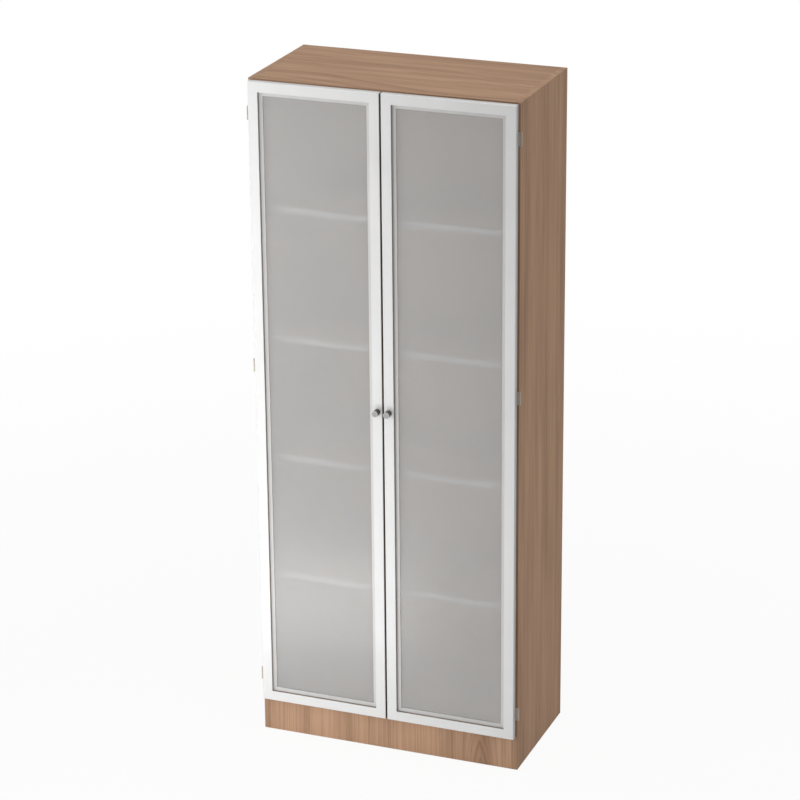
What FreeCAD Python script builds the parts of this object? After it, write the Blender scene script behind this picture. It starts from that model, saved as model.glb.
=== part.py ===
import FreeCAD
import Part
import Sketcher
import os

# A tall walnut-look bookcase with two aluminium-framed glass doors on barrel hinges.
# Millimetres. +Z is up, the doors face -Y, and the origin is on the floor under the
# middle of the whole bookcase, knobs and hinge barrels included.

SIZES = {
    # Carcass of board
    "carcass_width": 800,
    "carcass_depth": 397,
    "carcass_height": 2004,
    "board": 19,
    "edge_round": 1,
    "plinth_height": 97,
    "plinth_rear_inset": 20,
    # Back panel in its grooves
    "back_thickness": 8,
    "back_inset": 12,
    "groove_depth": 9,
    "groove_play": 0.2,
    "groove_end_play": 1,
    # Shelves and their pins
    "shelf_setback": 25,
    "shelf_play": 1,
    "shelf_lift_1": 17,
    "shelf_lift_2": 10,
    "shelf_lift_3": -2,
    "shelf_lift_4": 5,
    "pin_radius": 2.5,
    "pin_reach": 8,
    "pin_hole_depth": 10,
    "pin_inset": 40,
    "pin_row_step": 32,
    # Dowels of the carcass joints
    "dowel_radius": 4,
    "dowel_in_side": 12,
    "dowel_in_board": 20,
    "dowel_inset": 60,
    "plinth_dowel_inset": 25,
    "hole_play": 0.05,
    "hole_end_play": 1,
    # Doors and the aluminium profile of their frames
    "door_reveal": 6,
    "door_top_reveal": 4,
    "door_foot_reveal": 8,
    "door_gap": 4.5,
    "door_depth": 18,
    "frame_face": 30,
    "frame_lip": 11,
    "lip_thickness": 1.5,
    "frame_wall": 2,
    "outer_round": 2.5,
    "inner_round": 1,
    # Corner keys, panes and gaskets
    "key_arm": 55,
    "key_thickness": 8,
    "key_play": 0.15,
    "glass_thickness": 4,
    "glass_play": 1,
    "gasket_width": 6,
    "gasket_thickness": 2.5,
    # Knobs and their screws
    "knob_radius": 9.5,
    "knob_length": 22,
    "knob_edge": 1,
    "knob_height": 965,
    "knob_thread_radius": 2,
    "knob_thread_depth": 10,
    "knob_head_radius": 4,
    "knob_head_height": 2.4,
    # Barrel hinges
    "barrel_radius": 2.5,
    "barrel_height": 39,
    "knuckle_play": 0.3,
    "hinge_pin_radius": 1.2,
    "pin_head_radius": 2,
    "pin_head_height": 0.8,
    "leaf_thickness": 1.4,
    "leaf_gap": 0.2,
    "door_leaf_cover": 20,
    "leaf_screw_spread": 12,
    "hinge_top_inset": 97,
    "hinge_middle_rise": 104,
    "hinge_bottom_inset": 76,
    # Countersunk screws
    "screw_radius": 1.5,
    "screw_head_radius": 2.9,
    "wood_screw_length": 16,
    "frame_screw_length": 8,
    # Magnetic catches and strike plates
    "catch_land": 8,
    "catch_depth": 20,
    "catch_height": 14,
    "catch_offset": 70,
    "catch_gap": 0.1,
    "magnet_length": 30,
    "magnet_depth": 12,
    "magnet_height": 8,
    "magnet_play": 0.1,
    "catch_screw_length": 26,
    "catch_head_radius": 2.8,
    "catch_head_height": 2,
    "strike_length": 40,
    "strike_edge": 6,
    "strike_thickness": 1.3,
}
SHELF_COUNT = 4
PIN_ROWS = (-1, 0, 1)
SIDES = {"left": -1, "right": 1}

UPRIGHT = FreeCAD.Rotation()
AHEAD = FreeCAD.Rotation(FreeCAD.Vector(1, 0, 0), 90)
BACKWARD = FreeCAD.Rotation(FreeCAD.Vector(1, 0, 0), -90)
TO_RIGHT = FreeCAD.Rotation(FreeCAD.Vector(0, 1, 0), 90)
TO_LEFT = FreeCAD.Rotation(FreeCAD.Vector(0, 1, 0), -90)
HALF_TURN = FreeCAD.Rotation(FreeCAD.Vector(0, 1, 0), 180)

doc = FreeCAD.newDocument("GlassDoorBookcase")
sheet = doc.addObject("Spreadsheet::Sheet", "Sizes")
for row, (alias, value) in enumerate(SIZES.items(), start=1):
    sheet.set(f"A{row}", str(value))
    sheet.setAlias(f"A{row}", alias)
doc.recompute()

# Planes and levels that several pieces share, as expressions of the sheet
half_width = "(Sizes.carcass_width / 2)"
inner_face = f"({half_width} - Sizes.board)"
seam = "(2 * Sizes.leaf_thickness + Sizes.leaf_gap)"
overall_depth = f"(Sizes.carcass_depth + {seam} + Sizes.door_depth + Sizes.knob_length)"
carcass_back = f"({overall_depth} / 2)"
carcass_front = f"({carcass_back} - Sizes.carcass_depth)"
door_back = f"({carcass_front} - {seam})"
door_front = f"({door_back} - Sizes.door_depth)"
floor_level = "(Sizes.plinth_height + Sizes.board)"
ceiling_level = "(Sizes.carcass_height - Sizes.board)"
back_panel_front = f"({carcass_back} - Sizes.back_inset - Sizes.back_thickness)"
tongue = "(Sizes.groove_depth - Sizes.groove_end_play)"
shelf_space = f"(({ceiling_level} - {floor_level} - {SHELF_COUNT} * Sizes.board) / {SHELF_COUNT + 1})"
door_outer = f"({half_width} - Sizes.door_reveal)"
door_inner = "(Sizes.door_gap / 2)"
door_width = f"({door_outer} - {door_inner})"
door_bottom = "(Sizes.plinth_height + Sizes.door_foot_reveal)"
door_top = "(Sizes.carcass_height - Sizes.door_top_reveal)"
door_height = f"({door_top} - {door_bottom})"
profile_width = "(Sizes.frame_face + Sizes.frame_lip)"
lip_back = "(Sizes.door_depth - Sizes.gasket_thickness - Sizes.glass_thickness)"
lip_front = f"({lip_back} - Sizes.lip_thickness)"
arm_reach = "(Sizes.barrel_radius + Sizes.knuckle_play)"
hinge_axis_x = f"({half_width} + {arm_reach})"
hinge_axis_y = f"({carcass_front} - {seam} / 2)"
hinge_heights = {
    "bottom": f"({door_bottom} + Sizes.hinge_bottom_inset)",
    "middle": f"({door_bottom} + {door_height} / 2 + Sizes.hinge_middle_rise)",
    "top": f"({door_top} - Sizes.hinge_top_inset)",
}
knob_level = f"({door_bottom} + Sizes.knob_height)"
screw_hole = "(Sizes.screw_radius + Sizes.hole_play)"
catch_level = f"({ceiling_level} - Sizes.catch_height / 2)"
strike_screw_level = f"({door_top} - Sizes.frame_face / 2)"
catch_screw_spread = "((Sizes.magnet_length + Sizes.catch_land) / 2)"
# Depths of the two columns of shelf pins, from the front edge of a side panel
shelf_rear_depth = f"({back_panel_front} - Sizes.shelf_play - {carcass_front})"
pin_depths = ("(Sizes.shelf_setback + Sizes.pin_inset)", f"({shelf_rear_depth} - Sizes.pin_inset)")

nodes = {}


def shelf_level(index):
    """Height of the underside of one shelf, counted from 1 at the bottom: its even share and its own lift."""
    return f"({floor_level} + {index} * {shelf_space} + {index - 1} * Sizes.board + Sizes.shelf_lift_{index})"


def keep(node, item):
    """Name a finished piece and list it for writing."""
    item.Label = node
    nodes[node] = item
    return item


def place(item, x, y, z, turn=UPRIGHT):
    """Turn a piece and tie its position to the sheet."""
    item.Placement = FreeCAD.Placement(FreeCAD.Vector(), turn)
    for axis, text in zip("xyz", (x, y, z)):
        item.setExpression(f"Placement.Base.{axis}", str(text))
    return item


def block(name, length, width, height, x, y, z):
    """A board or bar from its lowest corner."""
    box = doc.addObject("Part::Box", name)
    for side, text in (("Length", length), ("Width", width), ("Height", height)):
        box.setExpression(side, text)
    return place(box, x, y, z)


def rod(name, radius, length, x, y, z, turn=UPRIGHT):
    """A round bar that starts at a point and runs along the turned Z axis."""
    cylinder = doc.addObject("Part::Cylinder", name)
    cylinder.setExpression("Radius", radius)
    cylinder.setExpression("Height", length)
    return place(cylinder, x, y, z, turn)


def bundle(name, members):
    """Several solids side by side in one object."""
    compound = doc.addObject("Part::Compound", name)
    compound.Links = members
    return compound


def joined(name, members):
    fuse = doc.addObject("Part::MultiFuse", name)
    fuse.Shapes = members
    return fuse


def cut(name, base, tools):
    removal = doc.addObject("Part::Cut", name)
    removal.Base = base
    removal.Tool = bundle(name + "_tools", tools)
    return removal


def countersunk(name, sink, length, x, y, z, turn, play="0"):
    """A screw with its head face at the point, or with play the hole that takes it."""
    cone = doc.addObject("Part::Cone", name + "_head")
    cone.setExpression("Radius1", f"Sizes.screw_head_radius + {play}")
    cone.setExpression("Radius2", f"Sizes.screw_radius + {play}")
    cone.setExpression("Height", sink)
    place(cone, x, y, z, turn)
    shank = rod(name + "_shank", f"Sizes.screw_radius + {play}", length, x, y, z, turn)
    return joined(name, [cone, shank])


def origin_plane(body, role):
    return next(plane for plane in body.Origin.OriginFeatures if plane.Role == role)


def new_sketch(body, name, role):
    sketch = body.newObject("Sketcher::SketchObject", name)
    sketch.AttachmentSupport = (origin_plane(body, role), [""])
    sketch.MapMode = "FlatFace"
    return sketch


def tie_point(sketch, element, point, x, y):
    """Hold one point of a sketch at a place given by the sheet."""
    for kind, text in (("DistanceX", x), ("DistanceY", y)):
        value = float(sheet.evalExpression(text))
        number = sketch.addConstraint(Sketcher.Constraint(kind, -1, 1, element, point, value))
        sketch.setExpression(f"Constraints[{number}]", text)


def add_outline(sketch, corners):
    """A closed outline of straight edges through the corners."""
    spots = []
    for x, y in corners:
        spots.append(FreeCAD.Vector(sheet.evalExpression(x), sheet.evalExpression(y), 0))
    first = sketch.GeometryCount
    for start, end in zip(spots, spots[1:] + spots[:1]):
        sketch.addGeometry(Part.LineSegment(start, end))
    for index, (x, y) in enumerate(corners):
        after = first + (index + 1) % len(corners)
        sketch.addConstraint(Sketcher.Constraint("Coincident", first + index, 2, after, 1))
        tie_point(sketch, first + index, 1, x, y)


def add_rectangle(sketch, x0, y0, x1, y1):
    add_outline(sketch, [(x0, y0), (x1, y0), (x1, y1), (x0, y1)])


def add_circle(sketch, radius, x, y):
    value = float(sheet.evalExpression(radius))
    spot = FreeCAD.Vector(sheet.evalExpression(x), sheet.evalExpression(y), 0)
    number = sketch.addGeometry(Part.Circle(spot, FreeCAD.Vector(0, 0, 1), value))
    tie_point(sketch, number, 3, x, y)
    ring = sketch.addConstraint(Sketcher.Constraint("Radius", number, value))
    sketch.setExpression(f"Constraints[{ring}]", radius)


def new_body(name):
    return doc.addObject("PartDesign::Body", name)


def pad(body, sketch, length, backward=False):
    feature = body.newObject("PartDesign::Pad", sketch.Name + "_pad")
    feature.Profile = sketch
    feature.setExpression("Length", length)
    feature.Reversed = backward
    body.Tip = feature
    return feature


def pocket(body, sketch, depth, backward=False):
    """Cut a sketch into a body, and stop if nothing was cut away."""
    doc.recompute()
    before = body.Shape.Volume
    feature = body.newObject("PartDesign::Pocket", sketch.Name + "_pocket")
    feature.Profile = sketch
    feature.setExpression("Length", depth)
    feature.Reversed = backward
    body.Tip = feature
    doc.recompute()
    if not body.Shape.Volume < before:
        raise RuntimeError(f"{feature.Label} cuts nothing")
    return feature


def long_edge(shape, x, y):
    """Name of the upright edge at one corner of a padded outline."""
    spot = FreeCAD.Vector(sheet.evalExpression(x), sheet.evalExpression(y), 0)
    for number, edge in enumerate(shape.Edges, start=1):
        ends = [FreeCAD.Vector(vertex.X, vertex.Y, 0) for vertex in edge.Vertexes]
        if len(ends) == 2 and all(end.isEqual(spot, 1e-6) for end in ends):
            return f"Edge{number}"
    raise RuntimeError("no upright edge at that corner")


def rounded(body, name, radius, x, y):
    """Round one upright edge of a body."""
    doc.recompute()
    base = body.Tip
    fillet = body.newObject("PartDesign::Fillet", name)
    fillet.Base = (base, [long_edge(base.Shape, x, y)])
    fillet.setExpression("Radius", radius)
    body.Tip = fillet


# Dowels of each board, as depths from the front edge and heights above the floor
board_dowel_depths = ("Sizes.dowel_inset", "Sizes.carcass_depth / 2",
                      "Sizes.carcass_depth - Sizes.dowel_inset")
plinth_dowel_levels = ("Sizes.plinth_dowel_inset", "Sizes.plinth_height - Sizes.plinth_dowel_inset")
rear_plinth_depth = "Sizes.carcass_depth - Sizes.plinth_rear_inset - Sizes.board / 2"
dowel_spots = {
    "bottom": [(depth, f"{floor_level} - Sizes.board / 2") for depth in board_dowel_depths],
    "top": [(depth, f"{ceiling_level} + Sizes.board / 2") for depth in board_dowel_depths],
    "front": [("Sizes.board / 2", level) for level in plinth_dowel_levels],
    "rear": [(rear_plinth_depth, level) for level in plinth_dowel_levels],
}
all_dowel_spots = [spot for spots in dowel_spots.values() for spot in spots]


# Side panels, with the back groove, dowel holes, rows of pin holes and hinge screw holes
def side_panel(side, sign):
    node = f"side_panel_{side}"
    body = new_body(node)
    outward = sign < 0
    board = new_sketch(body, node + "_board", "YZ_Plane")
    add_rectangle(board, "0", "0", "Sizes.carcass_depth", "Sizes.carcass_height")
    pad(body, board, "Sizes.board", outward)
    rounded(body, node + "_outer_edge", "Sizes.edge_round", f"{sign} * Sizes.board", "0")
    rounded(body, node + "_inner_edge", "Sizes.edge_round", "0", "0")

    groove = new_sketch(body, node + "_groove", "YZ_Plane")
    groove_rear = "Sizes.carcass_depth - Sizes.back_inset + Sizes.groove_play"
    groove_front = f"{groove_rear} - Sizes.back_thickness - 2 * Sizes.groove_play"
    lower = f"{floor_level} - Sizes.groove_depth"
    upper = f"{ceiling_level} + Sizes.groove_depth"
    add_rectangle(groove, groove_front, lower, groove_rear, upper)
    pocket(body, groove, "Sizes.groove_depth", not outward)

    dowels = new_sketch(body, node + "_dowel_holes", "YZ_Plane")
    for depth, level in all_dowel_spots:
        add_circle(dowels, "Sizes.dowel_radius + Sizes.hole_play", depth, level)
    pocket(body, dowels, "Sizes.dowel_in_side + Sizes.hole_end_play", not outward)

    pins = new_sketch(body, node + "_pin_holes", "YZ_Plane")
    for depth in pin_depths:
        for index in range(1, SHELF_COUNT + 1):
            for step in PIN_ROWS:
                level = f"{shelf_level(index)} - Sizes.pin_radius + {step} * Sizes.pin_row_step"
                add_circle(pins, "Sizes.pin_radius + Sizes.hole_play", depth, level)
    pocket(body, pins, "Sizes.pin_hole_depth", not outward)

    screws = new_sketch(body, node + "_screw_holes", "XZ_Plane")
    for height in hinge_heights.values():
        for spread in (-1, 1):
            level = f"{height} + {spread} * Sizes.leaf_screw_spread"
            add_circle(screws, screw_hole, f"{sign} * Sizes.board / 2", level)
    pocket(body, screws, "Sizes.wood_screw_length + Sizes.hole_end_play")
    place(body, f"{sign} * {inner_face}", carcass_front, "0")
    return keep(node, body)


# Boards between the side panels, bored at both ends for dowels
def end_holes(name, spots):
    """Dowel holes into both ends of a board, at depths and levels in a side panel's terms."""
    tools = []
    reach = "Sizes.dowel_in_board + Sizes.hole_end_play"
    for number, (depth, level) in enumerate(spots):
        y = f"{carcass_front} + {depth}"
        radius = "Sizes.dowel_radius + Sizes.hole_play"
        tools.append(rod(f"{name}_bore_left_{number}", radius, reach, f"-{inner_face}", y, level, TO_RIGHT))
        tools.append(rod(f"{name}_bore_right_{number}", radius, reach, inner_face, y, level, TO_LEFT))
    return tools


def between_sides(name, depth, height, y, z):
    return block(name, f"2 * {inner_face}", depth, height, f"-{inner_face}", y, z)


def back_groove(name, z):
    width = "Sizes.back_thickness + 2 * Sizes.groove_play"
    return between_sides(name, width, "Sizes.groove_depth", f"{back_panel_front} - Sizes.groove_play", z)


def catch_centres():
    return {side: f"({sign} * ({door_inner} + Sizes.catch_offset))" for side, sign in SIDES.items()}


def catch_screw_spots():
    y = f"{carcass_front} + Sizes.catch_depth / 2"
    return [(f"{x} + {spread} * {catch_screw_spread}", y)
            for x in catch_centres().values() for spread in (-1, 1)]


def boards_between():
    bottom = between_sides("bottom_board", "Sizes.carcass_depth", "Sizes.board", carcass_front,
                           "Sizes.plinth_height")
    tools = end_holes("bottom_board", dowel_spots["bottom"])
    tools.append(back_groove("bottom_groove", f"{floor_level} - Sizes.groove_depth"))
    keep("bottom_panel", cut("bottom_panel", bottom, tools))

    top = between_sides("top_board", "Sizes.carcass_depth", "Sizes.board", carcass_front, ceiling_level)
    tools = end_holes("top_board", dowel_spots["top"])
    tools.append(back_groove("top_groove", ceiling_level))
    depth = "Sizes.catch_screw_length - Sizes.catch_height + Sizes.hole_end_play"
    for number, (x, y) in enumerate(catch_screw_spots()):
        tools.append(rod(f"top_board_screw_hole_{number}", screw_hole, depth, x, y, ceiling_level))
    keep("top_panel", cut("top_panel", top, tools))

    front = between_sides("front_rail", "Sizes.board", "Sizes.plinth_height", carcass_front, "0")
    keep("plinth_front", cut("plinth_front", front, end_holes("front_rail", dowel_spots["front"])))
    rear_y = f"{carcass_back} - Sizes.plinth_rear_inset - Sizes.board"
    rear = between_sides("rear_rail", "Sizes.board", "Sizes.plinth_height", rear_y, "0")
    keep("plinth_rear", cut("plinth_rear", rear, end_holes("rear_rail", dowel_spots["rear"])))


def back_panel():
    reach = f"({inner_face} + {tongue})"
    height = f"{ceiling_level} - {floor_level} + 2 * {tongue}"
    panel = block("back_panel", f"2 * {reach}", "Sizes.back_thickness", height,
                  f"-{reach}", back_panel_front, f"{floor_level} - {tongue}")
    keep("back_panel", panel)


# Shelves on their pins
def shelves():
    shelf_depth = f"{shelf_rear_depth} - Sizes.shelf_setback"
    reach = f"({inner_face} - Sizes.shelf_play)"
    pins = []
    length = "Sizes.pin_hole_depth + Sizes.pin_reach"
    for index in range(1, SHELF_COUNT + 1):
        shelf = block(f"shelf_{index}", f"2 * {reach}", shelf_depth, "Sizes.board", f"-{reach}",
                      f"{carcass_front} + Sizes.shelf_setback", shelf_level(index))
        keep(f"shelf_{index}", shelf)
        level = f"{shelf_level(index)} - Sizes.pin_radius"
        for depth in pin_depths:
            y = f"{carcass_front} + {depth}"
            for sign, turn in ((-1, TO_RIGHT), (1, TO_LEFT)):
                x = f"{sign} * ({inner_face} + Sizes.pin_hole_depth)"
                pins.append(rod(f"shelf_pin_{len(pins)}", "Sizes.pin_radius", length, x, y, level, turn))
    keep("shelf_pins", bundle("shelf_pins", pins))


def joint_dowels():
    dowels = []
    for depth, level in all_dowel_spots:
        y = f"{carcass_front} + {depth}"
        length = "Sizes.dowel_in_side + Sizes.dowel_in_board"
        for sign, turn in ((-1, TO_RIGHT), (1, TO_LEFT)):
            x = f"{sign} * ({inner_face} + Sizes.dowel_in_side)"
            dowels.append(rod(f"dowel_{len(dowels)}", "Sizes.dowel_radius", length, x, y, level, turn))
    keep("joint_dowels", bundle("joint_dowels", dowels))


# Hinges: leaves are drawn about the pin, with +X towards the middle of the bookcase
def hinge_leaf(name, face, cover, knuckles, screw_x):
    """One leaf on the given side of the seam, with its knuckles and two countersunk holes."""
    rear = "Sizes.leaf_gap / 2" if face > 0 else "-Sizes.leaf_gap / 2 - Sizes.leaf_thickness"
    plate = block(name + "_plate", cover, "Sizes.leaf_thickness", "Sizes.barrel_height",
                  arm_reach, rear, "-Sizes.barrel_height / 2")
    solids = [plate]
    for number, (start, length) in enumerate(knuckles):
        solids.append(block(f"{name}_arm_{number}", arm_reach, "Sizes.leaf_thickness", length,
                            "0", rear, start))
        solids.append(rod(f"{name}_knuckle_{number}", "Sizes.barrel_radius", length, "0", "0", start))
    bore = rod(name + "_bore", "Sizes.hinge_pin_radius + Sizes.hole_play", "Sizes.barrel_height",
               "0", "0", "-Sizes.barrel_height / 2")
    tools = [bore]
    for spread in (-1, 1):
        tools.append(countersunk(f"{name}_hole_{spread + 1}", "Sizes.leaf_thickness", "Sizes.leaf_thickness",
                                 screw_x, f"{face} * Sizes.leaf_gap / 2",
                                 f"{spread} * Sizes.leaf_screw_spread",
                                 BACKWARD if face > 0 else AHEAD, "Sizes.hole_play"))
    return cut(name, joined(name + "_blank", solids), tools)


knuckle = "((Sizes.barrel_height - 2 * Sizes.knuckle_play) / 3)"
CARCASS_KNUCKLES = [("-Sizes.barrel_height / 2", knuckle), (f"Sizes.barrel_height / 2 - {knuckle}", knuckle)]
DOOR_KNUCKLES = [(f"-{knuckle} / 2", knuckle)]
carcass_screw_x = f"({arm_reach} + Sizes.board / 2)"
door_screw_x = f"({arm_reach} + Sizes.door_reveal + Sizes.door_leaf_cover / 2)"


def hinges(side, sign):
    turn = HALF_TURN if sign > 0 else UPRIGHT
    axis_x = f"{sign} * {hinge_axis_x}"
    pins = []
    for spot, height in hinge_heights.items():
        leaf = hinge_leaf(f"hinge_carcass_leaf_{side}_{spot}", 1, "Sizes.board",
                          CARCASS_KNUCKLES, carcass_screw_x)
        keep(leaf.Name, place(leaf, axis_x, hinge_axis_y, height, turn))
        leaf = hinge_leaf(f"hinge_door_leaf_{side}_{spot}", -1, "Sizes.door_reveal + Sizes.door_leaf_cover",
                          DOOR_KNUCKLES, door_screw_x)
        keep(leaf.Name, place(leaf, axis_x, hinge_axis_y, height, turn))
        name = f"hinge_pin_{side}_{spot}"
        shank = rod(name + "_shank", "Sizes.hinge_pin_radius", "Sizes.barrel_height", axis_x, hinge_axis_y,
                    f"{height} - Sizes.barrel_height / 2")
        head = rod(name + "_head", "Sizes.pin_head_radius", "Sizes.pin_head_height", axis_x, hinge_axis_y,
                   f"{height} + Sizes.barrel_height / 2")
        pins.append(joined(name, [shank, head]))
    keep(f"hinge_pins_{side}", bundle(f"hinge_pins_{side}", pins))


def hinge_screws():
    carcass_screws = []
    for side, sign in SIDES.items():
        door_screws = []
        for spot, height in hinge_heights.items():
            for spread in (-1, 1):
                level = f"{height} + {spread} * Sizes.leaf_screw_spread"
                name = f"hinge_screw_{side}_{spot}_{spread + 1}"
                x = f"{sign} * ({hinge_axis_x} - {carcass_screw_x})"
                y = f"{hinge_axis_y} + Sizes.leaf_gap / 2"
                length = "Sizes.leaf_thickness + Sizes.wood_screw_length"
                carcass_screws.append(countersunk(name + "_carcass", "Sizes.leaf_thickness", length,
                                                  x, y, level, BACKWARD))
                x = f"{sign} * ({hinge_axis_x} - {door_screw_x})"
                y = f"{hinge_axis_y} - Sizes.leaf_gap / 2"
                length = "Sizes.leaf_thickness + Sizes.frame_screw_length"
                door_screws.append(countersunk(name + "_door", "Sizes.leaf_thickness", length,
                                               x, y, level, AHEAD))
        keep(f"hinge_screws_door_{side}", bundle(f"hinge_screws_door_{side}", door_screws))
    keep("hinge_screws_carcass", bundle("hinge_screws_carcass", carcass_screws))


# Door frames: one hollow profile with a lip, mitred at both ends
def frame_member(name, length):
    """A length of profile: X runs from its outer edge to its lip, Y from front to back."""
    body = new_body(name)
    section = new_sketch(body, name + "_section", "XY_Plane")
    add_outline(section, [("0", "0"), ("Sizes.frame_face", "0"), ("Sizes.frame_face", lip_front),
                          (profile_width, lip_front), (profile_width, lip_back),
                          ("Sizes.frame_face", lip_back), ("Sizes.frame_face", "Sizes.door_depth"),
                          ("0", "Sizes.door_depth")])
    add_rectangle(section, "Sizes.frame_wall", "Sizes.frame_wall", "Sizes.frame_face - Sizes.frame_wall",
                  "Sizes.door_depth - Sizes.frame_wall")
    pad(body, section, length)
    rounded(body, name + "_outer_round", "Sizes.outer_round", "0", "0")
    rounded(body, name + "_inner_round", "Sizes.inner_round", "Sizes.frame_face", "0")
    mitres = new_sketch(body, name + "_mitres", "XZ_Plane")
    add_outline(mitres, [("0", "0"), (profile_width, "0"), (profile_width, profile_width)])
    add_outline(mitres, [("0", length), (profile_width, f"{length} - {profile_width}"),
                         (profile_width, length)])
    pocket(body, mitres, "Sizes.door_depth")
    return body


def corner_key(name):
    """An L in the front of the hollow of two members where they meet, clear of the screws behind."""
    body = new_body(name)
    sketch = new_sketch(body, name + "_outline", "XZ_Plane")
    start = "Sizes.frame_wall + Sizes.key_play"
    end = "Sizes.frame_face - Sizes.frame_wall - Sizes.key_play"
    reach = f"{start} + Sizes.key_arm"
    add_outline(sketch, [(start, start), (reach, start), (reach, end), (end, end), (end, reach),
                         (start, reach)])
    pad(body, sketch, "Sizes.key_thickness", True)
    return body


def door_frame(side, sign):
    low_x, high_x = (f"-{door_outer}", f"-{door_inner}") if sign < 0 else (door_inner, door_outer)
    left, right = ("hinge_stile", "lock_stile") if sign < 0 else ("lock_stile", "hinge_stile")
    places = {
        left: (door_height, low_x, door_bottom, UPRIGHT),
        right: (door_height, high_x, door_top, HALF_TURN),
        "bottom_rail": (door_width, high_x, door_bottom, TO_LEFT),
        "top_rail": (door_width, low_x, door_top, TO_RIGHT),
    }
    keys = []
    wall_hole = "Sizes.frame_wall + Sizes.hole_end_play"
    for member, (length, x, z, turn) in places.items():
        node = f"{member}_{side}"
        body = place(frame_member(node + "_profile", length), x, door_front, z, turn)
        tools = []
        if member == "hinge_stile":
            hole_x = f"{sign} * ({hinge_axis_x} - {door_screw_x})"
            for spot, height in hinge_heights.items():
                for spread in (-1, 1):
                    level = f"{height} + {spread} * Sizes.leaf_screw_spread"
                    tools.append(rod(f"{node}_hole_{spot}_{spread + 1}", screw_hole, wall_hole,
                                     hole_x, door_back, level, AHEAD))
        if member == "lock_stile":
            tools.append(rod(node + "_knob_hole", "Sizes.knob_thread_radius + Sizes.hole_play",
                             "Sizes.door_depth", knob_x(sign), door_back, knob_level, AHEAD))
        if member == "top_rail":
            tools.append(rod(node + "_strike_hole", screw_hole, wall_hole,
                             catch_centres()[side], door_back, strike_screw_level, AHEAD))
        keep(node, cut(node, body, tools) if tools else body)
        key_y = f"{door_front} + Sizes.frame_wall + Sizes.key_play"
        keys.append(place(corner_key(f"corner_key_{member}_{side}"), x, key_y, z, turn))
    keep(f"corner_keys_{side}", bundle(f"corner_keys_{side}", keys))


def glazing(side, sign):
    """The pane behind the lip and the gasket ring that holds it there."""
    low_x = f"(-{door_outer})" if sign < 0 else door_inner
    pane_y = f"({door_front} + {lip_back})"
    inset = "(Sizes.frame_face + Sizes.glass_play)"
    pane = block(f"glass_pane_{side}", f"{door_width} - 2 * {inset}", "Sizes.glass_thickness",
                 f"{door_height} - 2 * {inset}", f"{low_x} + {inset}", pane_y, f"{door_bottom} + {inset}")
    keep(f"glass_pane_{side}", pane)
    node = f"glazing_gasket_{side}"
    body = new_body(node)
    ring = new_sketch(body, node + "_ring", "XZ_Plane")
    wide = f"({door_width} - 2 * Sizes.frame_face)"
    tall = f"({door_height} - 2 * Sizes.frame_face)"
    add_rectangle(ring, "0", "0", wide, tall)
    add_rectangle(ring, "Sizes.gasket_width", "Sizes.gasket_width", f"{wide} - Sizes.gasket_width",
                  f"{tall} - Sizes.gasket_width")
    gasket_y = f"({pane_y} + Sizes.glass_thickness)"
    pad(body, ring, "Sizes.gasket_thickness", True)
    keep(node, place(body, f"{low_x} + Sizes.frame_face", gasket_y, f"{door_bottom} + Sizes.frame_face"))


# Knobs, each held by a screw through the lock stile
def knob_x(sign):
    return f"{sign} * ({door_inner} + Sizes.frame_face / 2)"


def knob(side, sign):
    node = f"knob_{side}"
    body = new_body(node)
    half = new_sketch(body, node + "_half", "XZ_Plane")
    thread = "Sizes.knob_thread_radius + Sizes.hole_play"
    depth = "Sizes.knob_thread_depth + Sizes.hole_end_play"
    add_outline(half, [(thread, "0"), ("Sizes.knob_radius", "0"),
                       ("Sizes.knob_radius", "Sizes.knob_length - Sizes.knob_edge"),
                       ("Sizes.knob_radius - Sizes.knob_edge", "Sizes.knob_length"),
                       ("0", "Sizes.knob_length"), ("0", depth), (thread, depth)])
    turned = body.newObject("PartDesign::Revolution", node + "_turned")
    turned.Profile = half
    turned.ReferenceAxis = (half, ["V_Axis"])
    turned.Angle = 360
    body.Tip = turned
    keep(node, place(body, knob_x(sign), door_front, knob_level, AHEAD))

    length = "Sizes.door_depth + Sizes.knob_thread_depth"
    shank = rod(f"knob_shank_{side}", "Sizes.knob_thread_radius", length, knob_x(sign), door_back,
                knob_level, AHEAD)
    head = rod(f"knob_head_{side}", "Sizes.knob_head_radius", "Sizes.knob_head_height",
               knob_x(sign), door_back, knob_level, BACKWARD)
    keep(f"knob_screw_{side}", joined(f"knob_screw_{side}", [shank, head]))


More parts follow.
